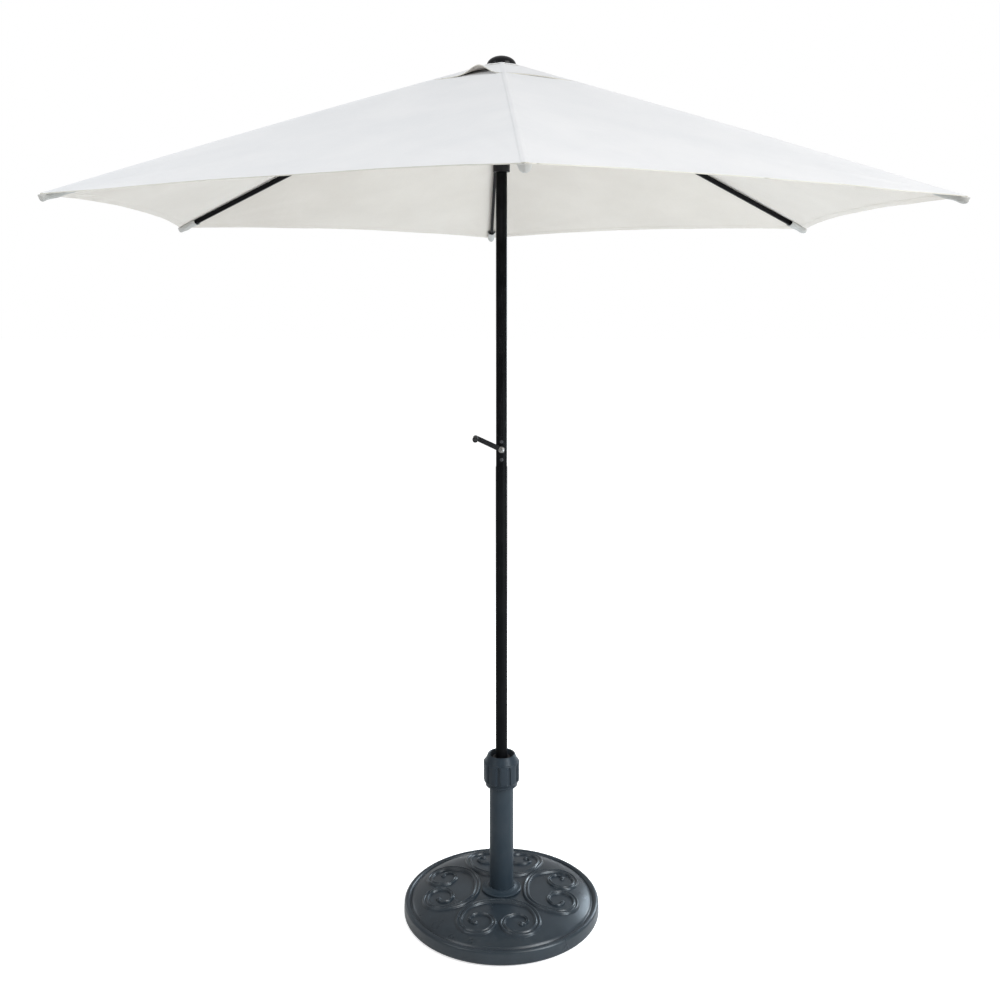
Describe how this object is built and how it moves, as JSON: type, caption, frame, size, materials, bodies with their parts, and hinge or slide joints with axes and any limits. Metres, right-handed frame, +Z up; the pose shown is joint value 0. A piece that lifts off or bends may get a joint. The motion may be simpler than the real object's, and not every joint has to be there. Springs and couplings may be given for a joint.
{
  "type": "patio umbrella with base",
  "caption": "Round canopy umbrella on a two-part pole: ribs, struts and runner raised by a crank and cord, in a scrolled round base with a clamped tube.",
  "frame": {"origin": "on the floor under the middle of the base, on the mast axis", "axes": "+Z up along the mast; the crank axle points along -Y, the side seen from the front; the ribs start 1.9 degrees past -Y and are 60 degrees apart"},
  "size_m": [2.0484, 2.3188, 2.343],
  "materials": {
    "base_resin": "satin",
    "rubber_feet": "matte",
    "bright_steel": "satin",
    "tube_paint": "satin",
    "pole_paint": "satin",
    "rib_paint": "satin",
    "arm_paint": "satin",
    "bracket_steel": "satin",
    "black_plastic": "matte",
    "nut_plastic": "satin",
    "sleeve_plastic": "satin",
    "gloss_black": "gloss",
    "cord": "matte",
    "canopy_cloth": "matte"
  },
  "bodies": {
    "base": {"base_weight": "base_resin", "base_feet": "rubber_feet", "foot_washer": "bright_steel", "foot_bolt": "bright_steel", "base_tube": "tube_paint", "tube_flange": "tube_paint", "threaded_collar": "black_plastic"},
    "clamp": {"clamp_nut": "nut_plastic"},
    "sleeve": {"reducer_sleeve": "black_plastic"},
    "mast": {"lower_pole": "pole_paint", "pole_foot": "black_plastic", "upper_pole": "pole_paint", "pole_button": "bright_steel", "crank_housing": "black_plastic", "crank_plate": "black_plastic", "housing_screws": "bright_steel", "crown_hub": "black_plastic", "crown_pins": "bright_steel", "finial": "gloss_black", "pulley_pin": "bright_steel", "cord_inner": "cord", "cord_outer": "cord"},
    "pulley": {"pulley_wheel": "sleeve_plastic"},
    "runner": {"runner": "black_plastic", "runner_pins": "bright_steel"},
    "crank": {"crank_spool": "sleeve_plastic", "crank_arm": "arm_paint", "arm_screw": "bright_steel", "grip_pin": "bright_steel"},
    "grip": {"crank_grip": "black_plastic"},
    "rib_1": {"rib_1": "rib_paint", "bracket_1": "bracket_steel", "tip_1": "black_plastic", "canopy_1": "canopy_cloth"},
    "strut_1": {"strut_1": "rib_paint"},
    "rib_2": {"rib_2": "rib_paint", "bracket_2": "bracket_steel", "tip_2": "black_plastic", "canopy_2": "canopy_cloth"},
    "strut_2": {"strut_2": "rib_paint"},
    "rib_3": {"rib_3": "rib_paint", "bracket_3": "bracket_steel", "tip_3": "black_plastic", "canopy_3": "canopy_cloth"},
    "strut_3": {"strut_3": "rib_paint"},
    "rib_4": {"rib_4": "rib_paint", "bracket_4": "bracket_steel", "tip_4": "black_plastic", "canopy_4": "canopy_cloth"},
    "strut_4": {"strut_4": "rib_paint"},
    "rib_5": {"rib_5": "rib_paint", "bracket_5": "bracket_steel", "tip_5": "black_plastic", "canopy_5": "canopy_cloth"},
    "strut_5": {"strut_5": "rib_paint"},
    "rib_6": {"rib_6": "rib_paint", "bracket_6": "bracket_steel", "tip_6": "black_plastic", "canopy_6": "canopy_cloth"},
    "strut_6": {"strut_6": "rib_paint"}
  },
  "joints": [
    {"name": "clamp_turn", "type": "hinge", "parent": "base", "child": "clamp", "pos_m": [0, 0, 0.4], "axis": [0, 0, 1], "range_deg": [0, 405]},
    {"name": "sleeve_turn", "type": "hinge", "parent": "base", "child": "sleeve", "pos_m": [0, 0, 0.35], "axis": [0, 0, 1], "continuous": true},
    {"name": "mast_lift", "type": "slide", "parent": "sleeve", "child": "mast", "axis": [0, 0, 1], "range_m": [0, 0.375]},
    {"name": "runner_slide", "type": "slide", "parent": "mast", "child": "runner", "axis": [0, 0, -1], "range_m": [0, 0.53709], "deforming": ["cord_outer", "canopy_1", "canopy_2", "canopy_3", "canopy_4", "canopy_5", "canopy_6"]},
    {"name": "crank_turn", "type": "hinge", "parent": "mast", "child": "crank", "pos_m": [0, 0, 1.289], "axis": [0, -1, 0], "range_deg": [0, 3756]},
    {"name": "grip_spin", "type": "hinge", "parent": "crank", "child": "grip", "pos_m": [-0.06979, -0.05, 1.32154], "axis": [0, -1, 0], "continuous": true},
    {"name": "pulley_spin", "type": "hinge", "parent": "mast", "child": "pulley", "pos_m": [0.0136, 0, 2.256], "axis": [0, 1, 0], "range_deg": [0, 5705]},
    {"name": "rib_fold_1", "type": "hinge", "parent": "mast", "child": "rib_1", "pos_m": [0.001, -0.02998, 2.31048], "axis": [0.9995, 0.0332, 0], "range_deg": [0, 65.7]},
    {"name": "strut_fold_1", "type": "hinge", "parent": "rib_1", "child": "strut_1", "pos_m": [0.01333, -0.40175, 2.16253], "axis": [0.9995, 0.0332, 0], "range_deg": [-141.51, 0]},
    {"name": "rib_fold_2", "type": "hinge", "parent": "mast", "child": "rib_2", "pos_m": [0.02646, -0.01413, 2.31048], "axis": [0.471, 0.8821, 0], "range_deg": [0, 65.7]},
    {"name": "strut_fold_2", "type": "hinge", "parent": "rib_2", "child": "strut_2", "pos_m": [0.35459, -0.18934, 2.16253], "axis": [0.471, 0.8821, 0], "range_deg": [-141.51, 0]},
    {"name": "rib_fold_3", "type": "hinge", "parent": "mast", "child": "rib_3", "pos_m": [0.02547, 0.01585, 2.31048], "axis": [-0.5284, 0.849, 0], "range_deg": [0, 65.7]},
    {"name": "strut_fold_3", "type": "hinge", "parent": "rib_3", "child": "strut_3", "pos_m": [0.34126, 0.21242, 2.16253], "axis": [-0.5284, 0.849, 0], "range_deg": [-141.51, 0]},
    {"name": "rib_fold_4", "type": "hinge", "parent": "mast", "child": "rib_4", "pos_m": [-0.001, 0.02998, 2.31048], "axis": [-0.9995, -0.0332, 0], "range_deg": [0, 65.7]},
    {"name": "strut_fold_4", "type": "hinge", "parent": "rib_4", "child": "strut_4", "pos_m": [-0.01333, 0.40175, 2.16253], "axis": [-0.9995, -0.0332, 0], "range_deg": [-141.51, 0]},
    {"name": "rib_fold_5", "type": "hinge", "parent": "mast", "child": "rib_5", "pos_m": [-0.02646, 0.01413, 2.31048], "axis": [-0.471, -0.8821, 0], "range_deg": [0, 65.7]},
    {"name": "strut_fold_5", "type": "hinge", "parent": "rib_5", "child": "strut_5", "pos_m": [-0.35459, 0.18934, 2.16253], "axis": [-0.471, -0.8821, 0], "range_deg": [-141.51, 0]},
    {"name": "rib_fold_6", "type": "hinge", "parent": "mast", "child": "rib_6", "pos_m": [-0.02547, -0.01585, 2.31048], "axis": [0.5284, -0.849, 0], "range_deg": [0, 65.7]},
    {"name": "strut_fold_6", "type": "hinge", "parent": "rib_6", "child": "strut_6", "pos_m": [-0.34126, -0.21242, 2.16253], "axis": [0.5284, -0.849, 0], "range_deg": [-141.51, 0]}
  ],
  "couplings": [
    {"joint": "crank_turn", "follows": "runner_slide", "rad_per_m": 121.95},
    {"joint": "pulley_spin", "follows": "runner_slide", "rad_per_m": 185.19},
    {"joint": "rib_fold_1", "follows": "runner_slide", "rad_per_m": 2.1317},
    {"joint": "strut_fold_1", "follows": "runner_slide", "rad_per_m": -4.5921},
    {"joint": "rib_fold_2", "follows": "runner_slide", "rad_per_m": 2.1317},
    {"joint": "strut_fold_2", "follows": "runner_slide", "rad_per_m": -4.5921},
    {"joint": "rib_fold_3", "follows": "runner_slide", "rad_per_m": 2.1317},
    {"joint": "strut_fold_3", "follows": "runner_slide", "rad_per_m": -4.5921},
    {"joint": "rib_fold_4", "follows": "runner_slide", "rad_per_m": 2.1317},
    {"joint": "strut_fold_4", "follows": "runner_slide", "rad_per_m": -4.5921},
    {"joint": "rib_fold_5", "follows": "runner_slide", "rad_per_m": 2.1317},
    {"joint": "strut_fold_5", "follows": "runner_slide", "rad_per_m": -4.5921},
    {"joint": "rib_fold_6", "follows": "runner_slide", "rad_per_m": 2.1317},
    {"joint": "strut_fold_6", "follows": "runner_slide", "rad_per_m": -4.5921}
  ]
}
